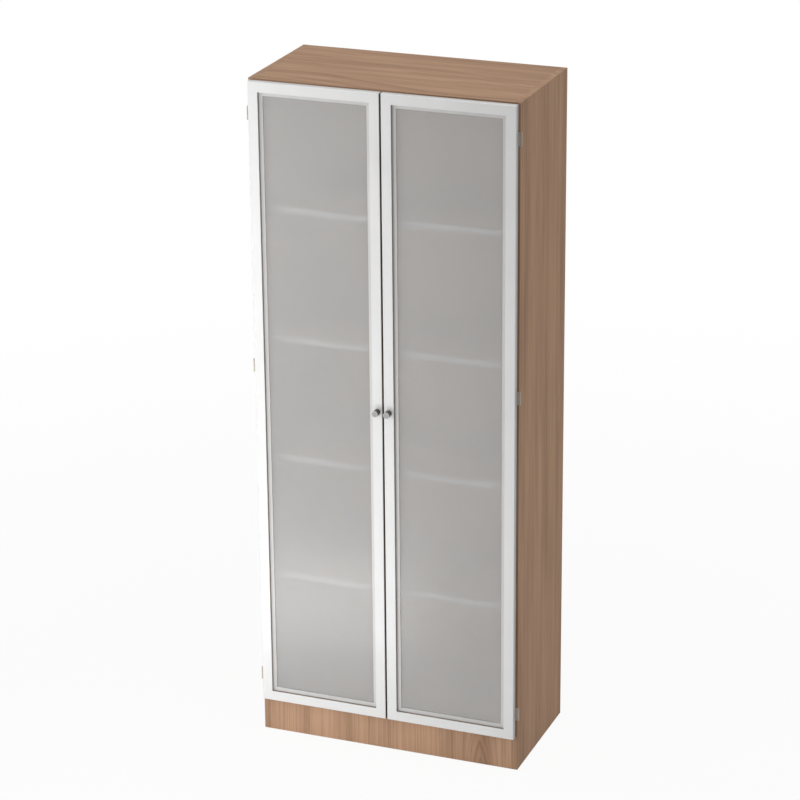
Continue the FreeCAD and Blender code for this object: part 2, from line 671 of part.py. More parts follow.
# Magnetic catches under the top panel and their strike plates on the top rails
def catches():
    catch_front = f"({door_back} + Sizes.strike_thickness + Sizes.catch_gap)"
    base = f"({ceiling_level} - Sizes.catch_height)"
    magnets = []
    screws = []
    half_length = "(Sizes.magnet_length / 2 + Sizes.catch_land)"
    depth = f"{carcass_front} + Sizes.catch_depth - {catch_front}"
    for side, x in catch_centres().items():
        shell = block(f"catch_shell_{side}", f"2 * {half_length}", depth, "Sizes.catch_height",
                      f"{x} - {half_length}", catch_front, base)
        room = block(f"catch_room_{side}", "Sizes.magnet_length + 2 * Sizes.magnet_play",
                     "Sizes.magnet_depth + Sizes.magnet_play",
                     "Sizes.magnet_height + 2 * Sizes.magnet_play",
                     f"{x} - Sizes.magnet_length / 2 - Sizes.magnet_play", catch_front,
                     f"{catch_level} - Sizes.magnet_height / 2 - Sizes.magnet_play")
        tools = [room]
        for spread in (-1, 1):
            tools.append(rod(f"catch_hole_{side}_{spread + 1}", screw_hole, "Sizes.catch_height",
                             f"{x} + {spread} * {catch_screw_spread}",
                             f"{carcass_front} + Sizes.catch_depth / 2", base))
        keep(f"catch_housing_{side}", cut(f"catch_housing_{side}", shell, tools))
        magnets.append(block(f"catch_magnet_{side}", "Sizes.magnet_length", "Sizes.magnet_depth",
                             "Sizes.magnet_height", f"{x} - Sizes.magnet_length / 2", catch_front,
                             f"{catch_level} - Sizes.magnet_height / 2"))
    for number, (x, y) in enumerate(catch_screw_spots()):
        shank = rod(f"catch_shank_{number}", "Sizes.screw_radius", "Sizes.catch_screw_length", x, y, base)
        head = rod(f"catch_head_{number}", "Sizes.catch_head_radius", "Sizes.catch_head_height", x, y,
                   f"{base} - Sizes.catch_head_height")
        screws.append(joined(f"catch_screw_{number}", [shank, head]))
    keep("catch_magnets", bundle("catch_magnets", magnets))
    keep("catch_screws", bundle("catch_screws", screws))


def strike(side):
    """A plate screwed to the middle of the top rail that reaches down over the magnet."""
    x = catch_centres()[side]
    height = f"{strike_screw_level} - {catch_level} + 2 * Sizes.strike_edge"
    plate = block(f"strike_blank_{side}", "Sizes.strike_length", "Sizes.strike_thickness", height,
                  f"{x} - Sizes.strike_length / 2", door_back, f"{catch_level} - Sizes.strike_edge")
    face = f"{door_back} + Sizes.strike_thickness"
    hole = countersunk(f"strike_hole_{side}", "Sizes.strike_thickness", "Sizes.strike_thickness",
                       x, face, strike_screw_level, AHEAD, "Sizes.hole_play")
    keep(f"strike_plate_{side}", cut(f"strike_plate_{side}", plate, [hole]))
    length = "Sizes.strike_thickness + Sizes.frame_screw_length"
    screw = countersunk(f"strike_screw_{side}", "Sizes.strike_thickness", length, x, face,
                        strike_screw_level, AHEAD)
    keep(f"strike_screw_{side}", screw)


boards_between()
back_panel()
shelves()
joint_dowels()
for side, sign in SIDES.items():
    side_panel(side, sign)
    hinges(side, sign)
    door_frame(side, sign)
    glazing(side, sign)
    knob(side, sign)
    strike(side)
hinge_screws()
catches()
doc.recompute()

# Every object has to be sound before a file is written
for item in doc.Objects:
    if "Invalid" in item.State or "Error" in item.State:
        raise RuntimeError(f"{item.Label} failed: {item.State}")
for node, item in nodes.items():
    if item.Shape.isNull() or not item.Shape.isValid():
        raise RuntimeError(f"{node} has no valid shape")

os.makedirs("parts", exist_ok=True)
for node, item in nodes.items():
    item.Shape.exportStep(f"parts/{node}.step")
print(len(nodes), "pieces written")
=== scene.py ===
# %% [markdown]
# # A bookcase with frosted glass doors
# The bookcase is a tall office cabinet: walnut-look boards, two doors of satin aluminium with frosted panes,
# and small turned knobs. Its real shapes come from the CAD model, which is loaded first and never moved.
# This lesson dresses it: a camera, a white studio, the finishes, and a few pieces that want finer modelling.

# %% Load the CAD model
import math

import bmesh
import bpy
from mathutils import Matrix, Vector


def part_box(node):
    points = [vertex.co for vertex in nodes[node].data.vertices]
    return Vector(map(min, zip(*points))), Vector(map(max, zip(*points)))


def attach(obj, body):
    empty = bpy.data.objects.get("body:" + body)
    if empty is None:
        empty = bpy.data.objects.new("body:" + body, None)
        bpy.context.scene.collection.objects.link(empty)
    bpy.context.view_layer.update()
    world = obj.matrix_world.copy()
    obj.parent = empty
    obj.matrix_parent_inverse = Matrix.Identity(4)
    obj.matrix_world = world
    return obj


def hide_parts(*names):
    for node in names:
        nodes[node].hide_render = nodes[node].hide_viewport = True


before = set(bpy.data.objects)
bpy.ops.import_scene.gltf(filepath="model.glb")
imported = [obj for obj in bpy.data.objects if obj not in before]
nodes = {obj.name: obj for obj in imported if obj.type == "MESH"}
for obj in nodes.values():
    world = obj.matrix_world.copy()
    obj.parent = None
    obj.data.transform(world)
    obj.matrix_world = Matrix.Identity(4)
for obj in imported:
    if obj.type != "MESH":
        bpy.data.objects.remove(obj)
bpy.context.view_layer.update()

# %% [markdown]
# ## Camera
# The photograph was taken from the right and from above with a long lens. The corners of the cabinet that
# show fix where the camera stood, so its angles, distance and lens are typed in as they were measured. A
# camera could also track a target, but a plain matrix from three directions also keeps the slight roll.

# %% Place the camera
AZIMUTH, ELEVATION, ROLL = (math.radians(angle) for angle in (21.364, 20.723, -0.515))
TARGET = Vector((-0.0345, 0.0230, 1.0250))
DISTANCE = 8.869
FOCAL_PIXELS, PICTURE_PIXELS = 3058.4, 800
SENSOR_MM = 36

camera_data = bpy.data.cameras.new("photo_camera")
camera_data.sensor_width = SENSOR_MM
camera_data.lens = FOCAL_PIXELS * SENSOR_MM / PICTURE_PIXELS
camera = bpy.data.objects.new("photo_camera", camera_data)
bpy.context.scene.collection.objects.link(camera)
back = Vector((math.sin(AZIMUTH) * math.cos(ELEVATION), -math.cos(AZIMUTH) * math.cos(ELEVATION),
               math.sin(ELEVATION)))
right = Vector((0, 0, 1)).cross(back).normalized()
turn = Matrix((right, back.cross(right), back)).transposed() @ Matrix.Rotation(ROLL, 3, "Z")
camera.matrix_world = Matrix.Translation(TARGET + back * DISTANCE) @ turn.to_4x4()
bpy.context.scene.camera = camera
bpy.context.scene.view_settings.view_transform = "Standard"
print("lens in mm", round(camera_data.lens, 1))

# %% [markdown]
# ## Helpers for shader nodes
# Every finish below is a small network of nodes. Adding and linking nodes by hand takes many lines, so
# helpers do it. The first adds a node and fills its sockets. The next three call it for what is needed most
# often: sums of numbers, sums of vectors and a change of range. The last starts a material.

# %% Node helpers
def put(tree, kind, values=None, **options):
    """Add a shader node. A value that is itself a socket is linked, and any other value is set."""
    added = tree.nodes.new("ShaderNode" + kind)
    for option, choice in options.items():
        setattr(added, option, choice)
    for socket, value in (values or {}).items():
        if isinstance(value, bpy.types.NodeSocket):
            tree.links.new(value, added.inputs[socket])
        else:
            added.inputs[socket].default_value = value
    return added


def calc(tree, operation, *numbers, clamp=False):
    return put(tree, "Math", dict(enumerate(numbers)), operation=operation, use_clamp=clamp).outputs[0]


def vector_calc(tree, operation, *vectors):
    made = put(tree, "VectorMath", dict(enumerate(vectors)), operation=operation)
    return made.outputs["Value" if operation == "LENGTH" else "Vector"]


def remap(tree, value, from_min=0.0, from_max=1.0, to_min=0.0, to_max=1.0):
    """Carry a value from one range to another, stopped at both ends."""
    ends = {"From Min": from_min, "From Max": from_max, "To Min": to_min, "To Max": to_max}
    return put(tree, "MapRange", {"Value": value, **ends}).outputs["Result"]


def start_material(name):
    """A material that has no nodes yet; gives back the material and its tree."""
    material = bpy.data.materials.new(name)
    material.use_nodes = True
    material.node_tree.nodes.clear()
    return material, material.node_tree


print("node helpers ready")

# %% [markdown]
# ## Studio: floor and surroundings
# The photograph has a pure white ground. Lighting a floor until it is white would burn out the cabinet too,
# so the white is given only to rays that look: camera, mirror and glass rays. Light that bounces off the
# floor still meets a plain pale surface, and a share of that surface is left in the picture so the shadow
# stays.

# %% Floor
FLOOR_RADIUS, FLOOR_SIDES, FLOOR_DROP = 14, 96, 0.0006
FLOOR_GREY = 0.80
NEAR, FAR, NEAR_WHITE = 1.2, 4.0, 0.94


def seen_rays(tree):
    """1 for rays that show the background as white, 0 for rays that carry light."""
    path = put(tree, "LightPath").outputs
    looks = calc(tree, "ADD", path["Is Camera Ray"], path["Is Glossy Ray"])
    return calc(tree, "ADD", looks, path["Is Transmission Ray"], clamp=True)


def make_floor():
    shape = bmesh.new()
    bmesh.ops.create_circle(shape, cap_ends=True, segments=FLOOR_SIDES, radius=FLOOR_RADIUS)
    bmesh.ops.translate(shape, verts=shape.verts, vec=(0, 0, -FLOOR_DROP))
    mesh = bpy.data.meshes.new("studio_floor")
    shape.to_mesh(mesh)
    shape.free()
    floor = bpy.data.objects.new("studio_floor", mesh)
    bpy.context.scene.collection.objects.link(floor)
    return floor


def pale_floor():
    material, tree = start_material("pale_floor")
    away = vector_calc(tree, "LENGTH", put(tree, "TexCoord").outputs["Object"])
    white = calc(tree, "MULTIPLY", remap(tree, away, NEAR, FAR, NEAR_WHITE), seen_rays(tree))
    paint = put(tree, "BsdfDiffuse", {"Color": (FLOOR_GREY, FLOOR_GREY, FLOOR_GREY, 1)})
    glow = put(tree, "Emission", {"Color": (1, 1, 1, 1), "Strength": 1.0})
    mix = put(tree, "MixShader", {0: white, 1: paint.outputs[0], 2: glow.outputs[0]})
    put(tree, "OutputMaterial", {"Surface": mix.outputs[0]})
    return material


floor = make_floor()
floor.data.materials.append(pale_floor())
print("floor radius in m", round(floor.dimensions.x / 2, 1))

# %% Surroundings
AMBIENT = 0.36

world = bpy.data.worlds.new("studio_world")
bpy.context.scene.world = world
world.use_nodes = True
sky = world.node_tree
sky.nodes.clear()
level = remap(sky, seen_rays(sky), to_min=AMBIENT)
air = put(sky, "Background", {"Color": (1, 1, 1, 1), "Strength": level})
put(sky, "OutputWorld", {"Surface": air.outputs[0]})
print("ambient level", AMBIENT)

# %% [markdown]
# ## Studio: lamps
# In the photograph the left edge is brightest, the right edge a third darker, and the knobs throw their soft
# shadows up and to the right. Two tall softboxes stand on the left and before the left door, close enough to
# fall off across the doors, and a small one stands low in front. A studio hides such lamps from the panes
# with black cards. Here they are hidden from mirror and glass rays, and two more are hidden from dull
# surfaces instead: one shines through the panes onto the shelf edges, and a strip near the floor makes the
# low sheen. The last two light the top board and the right side, which the others can't reach. The
# surroundings fill in the rest.

# %% Softboxes
def softbox(name, place, aim, size, power, spread=180):
    lamp = bpy.data.lights.new(name, "AREA")
    lamp.shape = "RECTANGLE"
    lamp.size, lamp.size_y = size
    lamp.energy = power
    lamp.spread = math.radians(spread)
    box = bpy.data.objects.new(name, lamp)
    box.location = place
    box.rotation_euler = (Vector(aim) - Vector(place)).to_track_quat("-Z", "Y").to_euler()
    box.visible_camera = False
    bpy.context.scene.collection.objects.link(box)
    return box


tall_left = softbox("tall_left_softbox", (-1.10, -1.00, 1.52), (-0.20, -0.2, 1.42), (0.3, 2.4), 7.1)
tall_front = softbox("tall_front_softbox", (-0.50, -1.40, 1.20), (-0.50, -0.2, 1.20), (0.3, 2.0), 3.7,
                     spread=120)
low_front = softbox("low_front_softbox", (-0.25, -1.70, 0.14), (-0.05, -0.2, 0.75), (0.4, 0.22), 5.9)
for outside_only in (tall_left, tall_front, low_front):
    outside_only.visible_glossy = outside_only.visible_transmission = False
through = softbox("through_panes_softbox", (-1.35, -0.80, 1.70), (-0.20, -0.2, 1.45), (0.3, 1.9), 24)
through.visible_diffuse = through.visible_glossy = False
sheen = softbox("sheen_softbox", (-0.76, -0.80, 0.135), (-0.66, -0.2, 0.41), (1.15, 0.30), 2.05)
sheen.visible_diffuse = False
softbox("overhead_softbox", (0.1, 0.0, 4.3), (0.1, 0.0, 2.0), (2.0, 1.6), 27)
softbox("right_softbox", (2.9, 0.1, 1.2), (0.4, 0.1, 1.1), (1.0, 1.6), 12.2)

# %% [markdown]
# ## Patterns
# A pattern that several finishes share is kept in a node group with named inputs and outputs. The same nodes
# could be copied into every material, but a group is mended in one place. Every pattern here gives a colour,
# a roughness and a height, so that one way of building a material serves them all.

# %% Group helpers
VECTOR, NUMBER, COLOUR = ("Vector", (0, 0, 0)), ("Float", 0.0), ("Color", (1, 1, 1, 1))
PATTERN = {"Color": "Color", "Roughness": "Float", "Height": "Float"}


def start_group(name, inputs, outputs):
    """A node group with named sockets; gives back the group, its input sockets and its output sockets."""
    group = bpy.data.node_groups.new(name, "ShaderNodeTree")
    for socket, (kind, value) in inputs.items():
        made = group.interface.new_socket(socket, in_out="INPUT", socket_type="NodeSocket" + kind)
        made.default_value = value
    for socket, kind in outputs.items():
        group.interface.new_socket(socket, in_out="OUTPUT", socket_type="NodeSocket" + kind)
    return group, group.nodes.new("NodeGroupInput").outputs, group.nodes.new("NodeGroupOutput").inputs


def give(group, result, **made):
    """Link what a group has made to its outputs."""
    for socket, value in made.items():
        group.links.new(value, result[socket])


def put_group(tree, group, values):
    return put(tree, "Group", values, node_tree=group).outputs


def mix_colour(tree, share, first, second, way="MIX"):
    """Mix two colours. They are sockets 6 and 7 of a Mix node, and the mixed colour is its output 2."""
    mixed = put(tree, "Mix", {"Factor": share, 6: first, 7: second}, data_type="RGBA", blend_type=way)
    return mixed.outputs[2]


print("a pattern gives", list(PATTERN))

# %% [markdown]
# ## Walnut-look board
# The boards carry a printed walnut figure: straight grain on the sides, arches on the plinth, and fine pores.
# A picture of wood would tie the pattern to one face. Here the rings of a tree are worked out around a heart
# line in space, so every face and edge of a board is cut from the same wood and the figure meets at corners.
# A trunk also tapers, so rings cut near the heart close in pointed arches. A peak value lifts the rings there
# and leaves the outer ones straight.

# %% Growth rings
BEND_SCALE, BEND = (2.6, 2.6, 0.9), (0.06, 0.06, 0.0)
PEAK_REACH = 0.065
RINGS, WAVES, DRIFT = 95.0, 34.0, 3.0
LATE_WOOD, FAINTEST_RING = 2.2, 0.25


def noise_along(tree, distance, scale):
    stretch = calc(tree, "MULTIPLY", distance, scale)
    return put(tree, "TexNoise", {"W": stretch, "Scale": 1.0, "Detail": 2.0},
               noise_dimensions="1D").outputs["Fac"]


def stretched(group, given, scale, detail, roughness=0.5):
    """Noise with its own scale along each axis; gives its colour and its level."""
    place = vector_calc(group, "MULTIPLY", given["Vector"], scale)
    return put(group, "TexNoise", {"Vector": place, "Scale": 1.0, "Detail": detail,
                                   "Roughness": roughness}).outputs


def growth_rings(group, given):
    """The distance from the heart of a trunk that bends a little, and the dark late wood of its rings."""
    sway = stretched(group, given, BEND_SCALE, 2.0)["Color"]
    sway = vector_calc(group, "SUBTRACT", sway, (0.5, 0.5, 0.5))
    bent = vector_calc(group, "MULTIPLY_ADD", sway, BEND, given["Vector"])
    part = put(group, "SeparateXYZ", {0: vector_calc(group, "SUBTRACT", bent, given["Heart"])}).outputs
    leaned = calc(group, "ADD", part["Y"], calc(group, "MULTIPLY", part["Z"], given["Lean"]))
    flat = put(group, "CombineXYZ", {"X": part["X"], "Y": leaned}).outputs[0]
    radius = vector_calc(group, "LENGTH", flat)
    lift = remap(group, radius, from_max=PEAK_REACH, to_min=given["Peak"], to_max=0.0)
    age = calc(group, "ADD", radius, calc(group, "MULTIPLY", part["Z"], lift))
    uneven = noise_along(group, age, WAVES)
    years = calc(group, "ADD", calc(group, "MULTIPLY", age, RINGS), calc(group, "MULTIPLY", uneven, DRIFT))
    late = calc(group, "POWER", calc(group, "FRACT", years), LATE_WOOD)
    return radius, calc(group, "MULTIPLY", late, calc(group, "ADD", uneven, FAINTEST_RING))


print("rings in a metre", RINGS)

# %% [markdown]
# The rings alone look like a diagram. Broad streaks, fine fibres and dark pores are noise drawn out along the
# grain, and each takes a share in how dark the wood is. The wood nearest the heart is a little darker, as it
# is in a real trunk.

# %% Streaks, fibres and pores
STREAK_SCALE, FIBRE_SCALE, PORE_SCALE = (19, 19, 1.3), (330, 330, 7), (620, 620, 16)
STREAK_SHARE, RING_SHARE, FIBRE_SHARE, PORE_SHARE, BASE_TONE = 1.40, 0.42, 0.55, 0.22, -0.40
HEART_START, HEART_END, HEART_SHARE = 0.02, 0.06, 0.30
PORE_START, PORE_END = 0.60, 0.74
MATT, MATT_SPREAD = 0.50, 0.16
FIBRE_RELIEF = 0.4


def walnut_grain():
    """Wood whose grain runs along Z."""
    group, given, result = start_group(
        "walnut_grain", {"Vector": VECTOR, "Heart": VECTOR, "Lean": NUMBER, "Peak": NUMBER,
                         "Light Wood": COLOUR, "Dark Wood": COLOUR}, PATTERN)
    radius, ring = growth_rings(group, given)
    heartwood = remap(group, radius, HEART_START, HEART_END, HEART_SHARE, 0.0)
    streak = stretched(group, given, STREAK_SCALE, 3.0, 0.62)["Fac"]
    fibre = stretched(group, given, FIBRE_SCALE, 3.0, 0.65)["Fac"]
    pore = remap(group, stretched(group, given, PORE_SCALE, 2.0)["Fac"], PORE_START, PORE_END)
    tone = calc(group, "MULTIPLY_ADD", streak, STREAK_SHARE, BASE_TONE)
    tone = calc(group, "ADD", tone, heartwood)
    tone = calc(group, "ADD", tone, calc(group, "MULTIPLY", ring, RING_SHARE))
    tone = calc(group, "ADD", tone, calc(group, "MULTIPLY", calc(group, "SUBTRACT", fibre, 0.5), FIBRE_SHARE))
    tone = calc(group, "ADD", tone, calc(group, "MULTIPLY", pore, PORE_SHARE), clamp=True)
    give(group, result, Color=mix_colour(group, tone, given["Light Wood"], given["Dark Wood"]),
         Roughness=calc(group, "MULTIPLY_ADD", fibre, MATT_SPREAD, MATT),
         Height=calc(group, "SUBTRACT", calc(group, "MULTIPLY", fibre, FIBRE_RELIEF), pore))
    return group


GRAIN = walnut_grain()
print("group", GRAIN.name, "nodes", len(GRAIN.nodes))

# %% [markdown]
# ## Softened edges
# No real edge is perfectly sharp: a board is banded and broken by a fraction of a millimetre, and metal is
# deburred. The CAD edges could be bevelled one by one, but a Bevel node rounds only the shading, which is
# enough for an edge thinner than a pixel. It leaves the CAD mesh as it is.

# %% Edges, and a material from a pattern
def softened_edge():
    group, given, result = start_group("softened_edge", {"Radius": NUMBER}, {"Normal": "Vector"})
    give(group, result, Normal=put(group, "Bevel", {"Radius": given["Radius"]}, samples=4).outputs[0])
    return group


EDGE = softened_edge()


def start_finish(name, group, values, edge, bump, grain_turn=None, shade=None):
    """A material whose colour, roughness and relief come from one group, with softened edges."""
    material, tree = start_material(name)
    place = turned = put(tree, "TexCoord").outputs["Object"]
    if grain_turn is not None:
        turned = put(tree, "Mapping", {"Vector": place, "Rotation": grain_turn}).outputs[0]
    pattern = put_group(tree, group, {"Vector": turned, **values})
    colour = pattern["Color"]
    if shade is not None:
        level = put_group(tree, shade, {"Vector": place})["Shade"]
        colour = mix_colour(tree, 1.0, colour, level, "MULTIPLY")
    corner = put_group(tree, EDGE, {"Radius": edge})
    relief = put(tree, "Bump", {"Strength": 1.0, "Distance": bump, "Height": pattern["Height"],
                                "Normal": corner["Normal"]})
    shader = put(tree, "BsdfPrincipled", {"Base Color": colour, "Roughness": pattern["Roughness"],
                                          "Normal": relief.outputs[0]})
    put(tree, "OutputMaterial", {"Surface": shader.outputs[0]})
    return material, shader


print("group", EDGE.name)

# %% [markdown]
# The sides and the back are cut with the grain upright, the top, the bottom and the shelves with the grain
# across. The plinth is painted paler than the other boards, a painted light, with the heart line close to its
# face, which is what draws the arch. The group could be copied for each, but three sets of values on one
# group keep the wood alike.

# %% Walnut boards, upright and across
LIGHT_WALNUT = (0.530, 0.335, 0.218)
DARK_WALNUT = (0.270, 0.160, 0.100)
UPRIGHT = (0, 0, 0)
ACROSS = (0, math.radians(90), 0)
BOARD_EDGE, PORE_DEPTH = 0.0007, 0.00012


# painted_light makes both wood tones paler, a painted light.
def walnut(name, turn, heart, lean=0.0, sheen=0.04, peak=0.0, painted_light=1.0):
    light, dark = ((*(painted_light * part for part in wood), 1) for wood in (LIGHT_WALNUT, DARK_WALNUT))
    values = {"Heart": heart, "Lean": lean, "Peak": peak, "Light Wood": light, "Dark Wood": dark}
    material, shader = start_finish(name, GRAIN, values, BOARD_EDGE, PORE_DEPTH, turn)
    shader.inputs["Specular IOR Level"].default_value = sheen
    return material


walnut_upright = walnut("walnut_upright", UPRIGHT, (0.10, -0.52, 0.0), lean=0.012)
# The plinth is painted paler, a painted light.
walnut_plinth = walnut("walnut_plinth", UPRIGHT, (0.290, -0.175, -0.02), sheen=0.12, peak=0.24, painted_light=1.19)
walnut_across = walnut("walnut_across", ACROSS, (-1.72, -0.62, 0.0), lean=0.02)
print("boards", walnut_upright.name, walnut_plinth.name, walnut_across.name)

# %% [markdown]
# ## Speckled finishes
# Anodised frames, moulded plastic, rubber, cast zinc and ferrite all show the same thing close up: a fine
# speckle over a slow cloudy change of tone. One group makes both and takes the two tones, the grain size and
# the gloss from each material, so that all of them share it.

# %% Speckle group
CLOUD_SCALE = 7.0
FINE_SHARE, CLOUD_SHARE = 0.55, 0.45
FAINT, STRONG = 0.30, 0.70


def noise(tree, place, scale, detail):
    return put(tree, "TexNoise", {"Vector": place, "Scale": scale, "Detail": detail}).outputs["Fac"]


def speckle():
    group, given, result = start_group(
        "speckle", {"Vector": VECTOR, "Grain": NUMBER, "Pale": COLOUR, "Deep": COLOUR, "Smooth": NUMBER,
                    "Rough": NUMBER}, PATTERN)
    fine = noise(group, given["Vector"], given["Grain"], 2.0)
    cloud = noise(group, given["Vector"], CLOUD_SCALE, 3.0)
    blend = calc(group, "ADD", calc(group, "MULTIPLY", fine, FINE_SHARE),
                 calc(group, "MULTIPLY", cloud, CLOUD_SHARE))
    spread = remap(group, blend, FAINT, STRONG)
    give(group, result, Color=mix_colour(group, spread, given["Pale"], given["Deep"]),
         Roughness=remap(group, spread, to_min=given["Smooth"], to_max=given["Rough"]), Height=fine)
    return group


SPECKLE = speckle()


def speckled(name, pale, deep, smooth, rough, grain, bump, edge=0.0004, shade=None, **sockets):
    values = {"Grain": grain, "Pale": (*pale, 1), "Deep": (*deep, 1), "Smooth": smooth, "Rough": rough}
    material, shader = start_finish(name, SPECKLE, values, edge, bump, None, shade)
    for socket, value in sockets.items():
        shader.inputs[socket.replace("_", " ")].default_value = value
    return material


print("group", SPECKLE.name)

# %% [markdown]
# The broad faces of a door frame are satin silver. The narrow sides around the pane and at the middle gap are
# painted dark, a painted shade for the recess and the gap, which draws thin warm lines there. The lip that
# holds the pane, the top of the door and the sides at the hinges get a lighter painted shade between the two.
# The bar is one piece of metal, so its surfaces are told apart by where they lie in the door, and the darker
# painted shade is also a little warmer.

# %% Sides and lip of the frame bars
# Painted shade levels for the surfaces of a bar, where 1 is the lit face: the gap, the sides, the hinge side,
# the lip and the top are painted darker as shade in the recess and the gap.
FACE_WIDTH, LIP_STEP = 0.030, 0.010
GAP_SHADE, SIDE_SHADE, OUTER_SHADE, LIP_SHADE, TOP_SHADE = 0.26, 0.36, 0.66, 0.83, 0.82
GAP_SHADE_WARMTH = (1.0, 0.72, 0.52, 1)
HAIR, ROUND = 0.0006, 0.0026


def painted_bar_shade():
    group, given, result = start_group("painted_bar_shade", {"Vector": VECTOR}, {"Shade": "Color"})
    low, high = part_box("lock_stile_right")[0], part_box("hinge_stile_right")[1]
    part = put(group, "SeparateXYZ", {0: given["Vector"]}).outputs
    folded = calc(group, "ABSOLUTE", part["X"])
    across = calc(group, "ABSOLUTE", calc(group, "SUBTRACT", folded, (low.x + high.x) / 2))
    upright = calc(group, "ABSOLUTE", calc(group, "SUBTRACT", part["Z"], (low.z + high.z) / 2))
    in_width = calc(group, "LESS_THAN", across, (high.x - low.x) / 2 - FACE_WIDTH + HAIR)
    in_height = calc(group, "LESS_THAN", upright, (high.z - low.z) / 2 - FACE_WIDTH + HAIR)
    stepped = calc(group, "GREATER_THAN", part["Y"], low.y + LIP_STEP - HAIR)
    lip = calc(group, "MULTIPLY", calc(group, "MULTIPLY", in_width, in_height), stepped)
    front = calc(group, "LESS_THAN", part["Y"], low.y + 2 * HAIR)
    rear = calc(group, "GREATER_THAN", part["Y"], high.y - HAIR)
    top = calc(group, "GREATER_THAN", part["Z"], high.z - ROUND)
    outer = calc(group, "GREATER_THAN", folded, high.x - ROUND)
    past_gap = calc(group, "GREATER_THAN", folded, low.x + ROUND)
    shade = calc(group, "MAXIMUM", calc(group, "MULTIPLY", past_gap, SIDE_SHADE), GAP_SHADE)
    for surface, level in ((lip, LIP_SHADE), (outer, OUTER_SHADE), (top, TOP_SHADE), (front, 1.0),
                           (rear, 1.0)):
        shade = calc(group, "MAXIMUM", shade, calc(group, "MULTIPLY", surface, level))
    # The darkest painted shade is also tinted warm.
    shade_tint = mix_colour(group, remap(group, shade, GAP_SHADE, OUTER_SHADE), GAP_SHADE_WARMTH, (1, 1, 1, 1))
    give(group, result, Shade=mix_colour(group, 1.0, shade_tint, shade, "MULTIPLY"))
    return group


PAINTED_BAR_SHADE = painted_bar_shade()
print("group", PAINTED_BAR_SHADE.name, "nodes", len(PAINTED_BAR_SHADE.nodes))

# %% [markdown]
# Now each finish is one call: its pale and its deep tone, the least and the greatest roughness, the fineness
# of the grain and the depth of its relief in metres. Values such as Metallic that are the same all over go
# straight to the shader, because the exported model keeps them there.

# %% Frames, hinges, gaskets, catches, dowels, corner keys and shelf edging
# The frame's colour carries the painted shade of its bar sides, lip, gap and top.
frame_silver = speckled("frame_silver", (0.86, 0.86, 0.855), (0.78, 0.78, 0.775), 0.34, 0.44, 1400.0, 0.00003,
                        edge=0.0006, shade=PAINTED_BAR_SHADE, Metallic=0.10)
hinge_lacquer = speckled("hinge_lacquer", (0.55, 0.465, 0.390), (0.47, 0.397, 0.332), 0.42, 0.55, 1500.0,
                         0.00003, Specular_IOR_Level=0.2)
gasket_black = speckled("gasket_black", (0.035, 0.035, 0.036), (0.018, 0.018, 0.019), 0.55, 0.75, 600.0,
                        0.00004)
catch_grey = speckled("catch_grey", (0.60, 0.60, 0.59), (0.50, 0.50, 0.49), 0.35, 0.48, 900.0, 0.00003)
ferrite = speckled("ferrite", (0.075, 0.073, 0.072), (0.040, 0.039, 0.038), 0.45, 0.65, 1200.0, 0.00005)
beech_dowel = speckled("beech_dowel", (0.62, 0.42, 0.24), (0.50, 0.31, 0.16), 0.55, 0.70, 420.0, 0.00006)
cast_zinc = speckled("cast_zinc", (0.52, 0.52, 0.53), (0.40, 0.40, 0.41), 0.38, 0.55, 1000.0, 0.00004,
                     Metallic=0.9)
edging_grey = speckled("edging_grey", (0.43, 0.43, 0.425), (0.37, 0.37, 0.365), 0.40, 0.52, 1400.0, 0.00003)
print("speckled", [finish.name for finish in (frame_silver, hinge_lacquer, gasket_black, catch_grey, ferrite,
                                              beech_dowel, cast_zinc, edging_grey)])

# %% [markdown]
# ## Drawn and turned metal
# Screws, pins and plates are rolled or drawn and show fine lines along one direction. A brushed look could
# use an anisotropic shader, but lines in colour, roughness and relief also survive in the exported model.

# %% Drawn lines group
LINE_FAINT, LINE_STRONG = 0.32, 0.68


def drawn_lines():
    group, given, result = start_group(
        "drawn_lines", {"Vector": VECTOR, "Stretch": VECTOR, "Pale": COLOUR, "Deep": COLOUR, "Smooth": NUMBER,
                        "Rough": NUMBER}, PATTERN)
    line = noise(group, vector_calc(group, "MULTIPLY", given["Vector"], given["Stretch"]), 1.0, 3.0)
    clear = remap(group, line, LINE_FAINT, LINE_STRONG)
    give(group, result, Color=mix_colour(group, clear, given["Pale"], given["Deep"]),
         Roughness=remap(group, clear, to_min=given["Smooth"], to_max=given["Rough"]), Height=line)
    return group


LINES = drawn_lines()
UP_AND_DOWN, SIDE_TO_SIDE = (1100.0, 1100.0, 35.0), (35.0, 1100.0, 1100.0)
METAL_EDGE, METAL_RELIEF = 0.0003, 0.00002


def drawn(name, pale, deep, smooth, rough, stretch):
    values = {"Stretch": stretch, "Pale": (*pale, 1), "Deep": (*deep, 1), "Smooth": smooth, "Rough": rough}
    material, shader = start_finish(name, LINES, values, METAL_EDGE, METAL_RELIEF)
    shader.inputs["Metallic"].default_value = 1.0
    return material


# The knob sides are the same nickel painted dark, a painted dark reflection.
nickel_painted_shade = drawn("nickel_painted_shade", (0.160, 0.136, 0.116), (0.088, 0.074, 0.062), 0.22, 0.36, UP_AND_DOWN)
bright_zinc = drawn("bright_zinc", (0.66, 0.67, 0.68), (0.52, 0.53, 0.54), 0.24, 0.40, UP_AND_DOWN)
strike_steel = drawn("strike_steel", (0.58, 0.58, 0.57), (0.45, 0.45, 0.45), 0.22, 0.34, SIDE_TO_SIDE)
print("drawn", nickel_painted_shade.name, bright_zinc.name, strike_steel.name)

